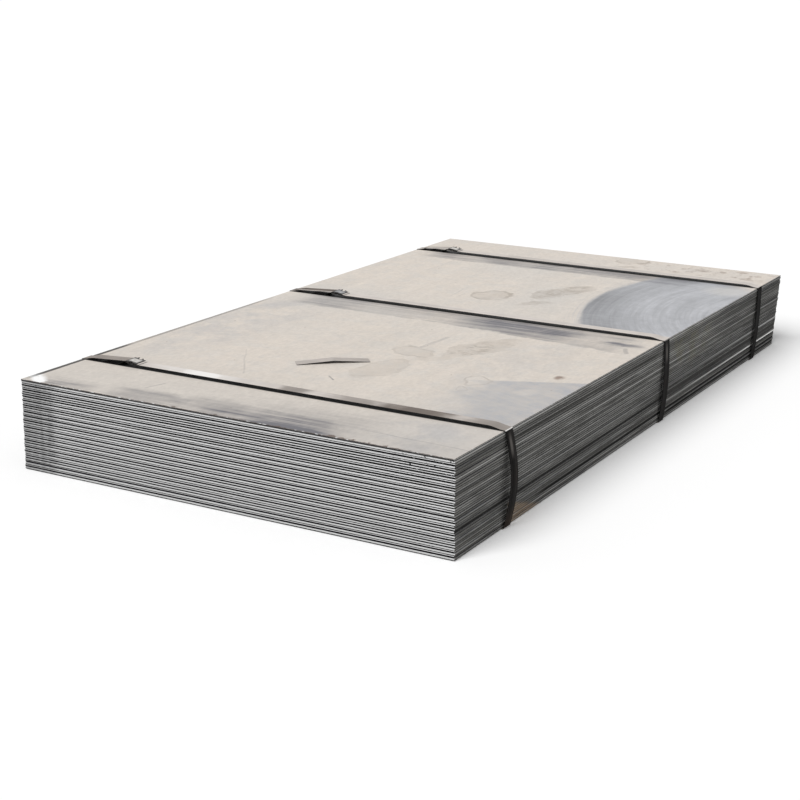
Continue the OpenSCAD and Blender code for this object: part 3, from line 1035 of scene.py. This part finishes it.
def set_sun(stage):
    """One broad soft light."""
    data = bpy.data.lights.new("key", "SUN")
    data.energy = stage.sun_strength
    data.angle = stage.sun_softness
    lamp = bpy.data.objects.new("key", data)
    a, e = stage.sun_azimuth, stage.sun_elevation
    towards = Vector((math.cos(a) * math.cos(e), math.sin(a) * math.cos(e), math.sin(e)))
    lamp.rotation_mode = "QUATERNION"
    lamp.rotation_quaternion = towards.to_track_quat("Z", "Y")
    bpy.context.scene.collection.objects.link(lamp)


def set_floor(stage):
    """A pale floor just below the straps, which throws little light back."""
    half = stage.floor_side / 2
    corners = [
        (x * half, y * half, -FLOOR_DROP) for x, y in ((-1, -1), (1, -1), (1, 1), (-1, 1))
    ]
    mesh = bpy.data.meshes.new("floor")
    mesh.from_pydata(corners, [], [(0, 1, 2, 3)])
    floor = bpy.data.objects.new("floor", mesh)
    bpy.context.scene.collection.objects.link(floor)
    material, g = new_material("pale_floor")
    pale = g.add("ShaderNodeBsdfDiffuse", {"Color": FLOOR_SHOWN})
    glow = g.add("ShaderNodeEmission", {"Color": WHITE, "Strength": FLOOR_GLOW})
    shown = g.add("ShaderNodeAddShader", (pale.outputs[0], glow.outputs[0]))
    bounce = g.add("ShaderNodeBsdfDiffuse", {"Color": FLOOR_BOUNCE})
    mixed = g.add("ShaderNodeMixShader", (seen_ray(g), bounce.outputs[0], shown.outputs[0]))
    g.add("ShaderNodeOutputMaterial", (mixed.outputs[0],))
    mesh.materials.append(material)


class SHEETBUNDLE_OT_sheets(bpy.types.Operator):
    """Gives the sheets below the top one their sheared edges"""

    bl_idname = "sheetbundle.sheets"
    bl_label = "Sheets"

    def execute(self, context):
        dress_sheets(context.scene.sheet_finish)
        return {"FINISHED"}


class SHEETBUNDLE_OT_top_sheet(bpy.types.Operator):
    """Gives the top sheet its dust, stains and prints"""

    bl_idname = "sheetbundle.top_sheet"
    bl_label = "Top sheet"

    def execute(self, context):
        dress_top_sheet(context.scene.sheet_finish)
        return {"FINISHED"}


class SHEETBUNDLE_OT_straps(bpy.types.Operator):
    """Gives the straps and the loose offcut their dark steel, its wear, painted light and painted
    shade
    """

    bl_idname = "sheetbundle.straps"
    bl_label = "Straps and offcut"

    def execute(self, context):
        dress_straps(context.scene.strap_finish)
        return {"FINISHED"}


class SHEETBUNDLE_OT_seals(bpy.types.Operator):
    """Gives the crimped seals their dull zinc"""

    bl_idname = "sheetbundle.seals"
    bl_label = "Seals"

    def execute(self, context):
        dress_seals(context.scene.strap_finish)
        return {"FINISHED"}


class SHEETBUNDLE_OT_stage(bpy.types.Operator):
    """Sets the camera, the light and the pale floor"""

    bl_idname = "sheetbundle.stage"
    bl_label = "Stage"

    def execute(self, context):
        stage = context.scene.bundle_stage
        context.scene.view_settings.view_transform = "Standard"
        set_camera(stage)
        set_world(stage)
        set_sun(stage)
        set_floor(stage)
        return {"FINISHED"}


class SHEETBUNDLE_PT_panel(bpy.types.Panel):
    """Lists the bundle's finishes and stage"""

    bl_idname = "SHEETBUNDLE_PT_panel"
    bl_label = "Sheet bundle"
    bl_space_type = "VIEW_3D"
    bl_region_type = "UI"
    bl_category = "Sheet bundle"

    def draw(self, context):
        for operator in OPERATORS:
            self.layout.operator(operator.bl_idname)
        for place, group in GROUPS.items():
            box = self.layout.box()
            for name in group.__annotations__:
                box.prop(getattr(context.scene, place), name)


GROUPS = {"sheet_finish": SheetFinish, "strap_finish": StrapFinish, "bundle_stage": StageSettings}
OPERATORS = (
    SHEETBUNDLE_OT_stage,
    SHEETBUNDLE_OT_sheets,
    SHEETBUNDLE_OT_top_sheet,
    SHEETBUNDLE_OT_straps,
    SHEETBUNDLE_OT_seals,
)
CLASSES = (*GROUPS.values(), *OPERATORS, SHEETBUNDLE_PT_panel)


def register():
    for item in CLASSES:
        bpy.utils.register_class(item)
    for name, group in GROUPS.items():
        setattr(bpy.types.Scene, name, PointerProperty(type=group))


def unregister():
    for name in GROUPS:
        delattr(bpy.types.Scene, name)
    for item in reversed(CLASSES):
        bpy.utils.unregister_class(item)


def main():
    register()
    bpy.ops.sheetbundle.stage()
    bpy.ops.sheetbundle.sheets()
    bpy.ops.sheetbundle.top_sheet()
    bpy.ops.sheetbundle.straps()
    bpy.ops.sheetbundle.seals()


if __name__ == "__main__":
    main()
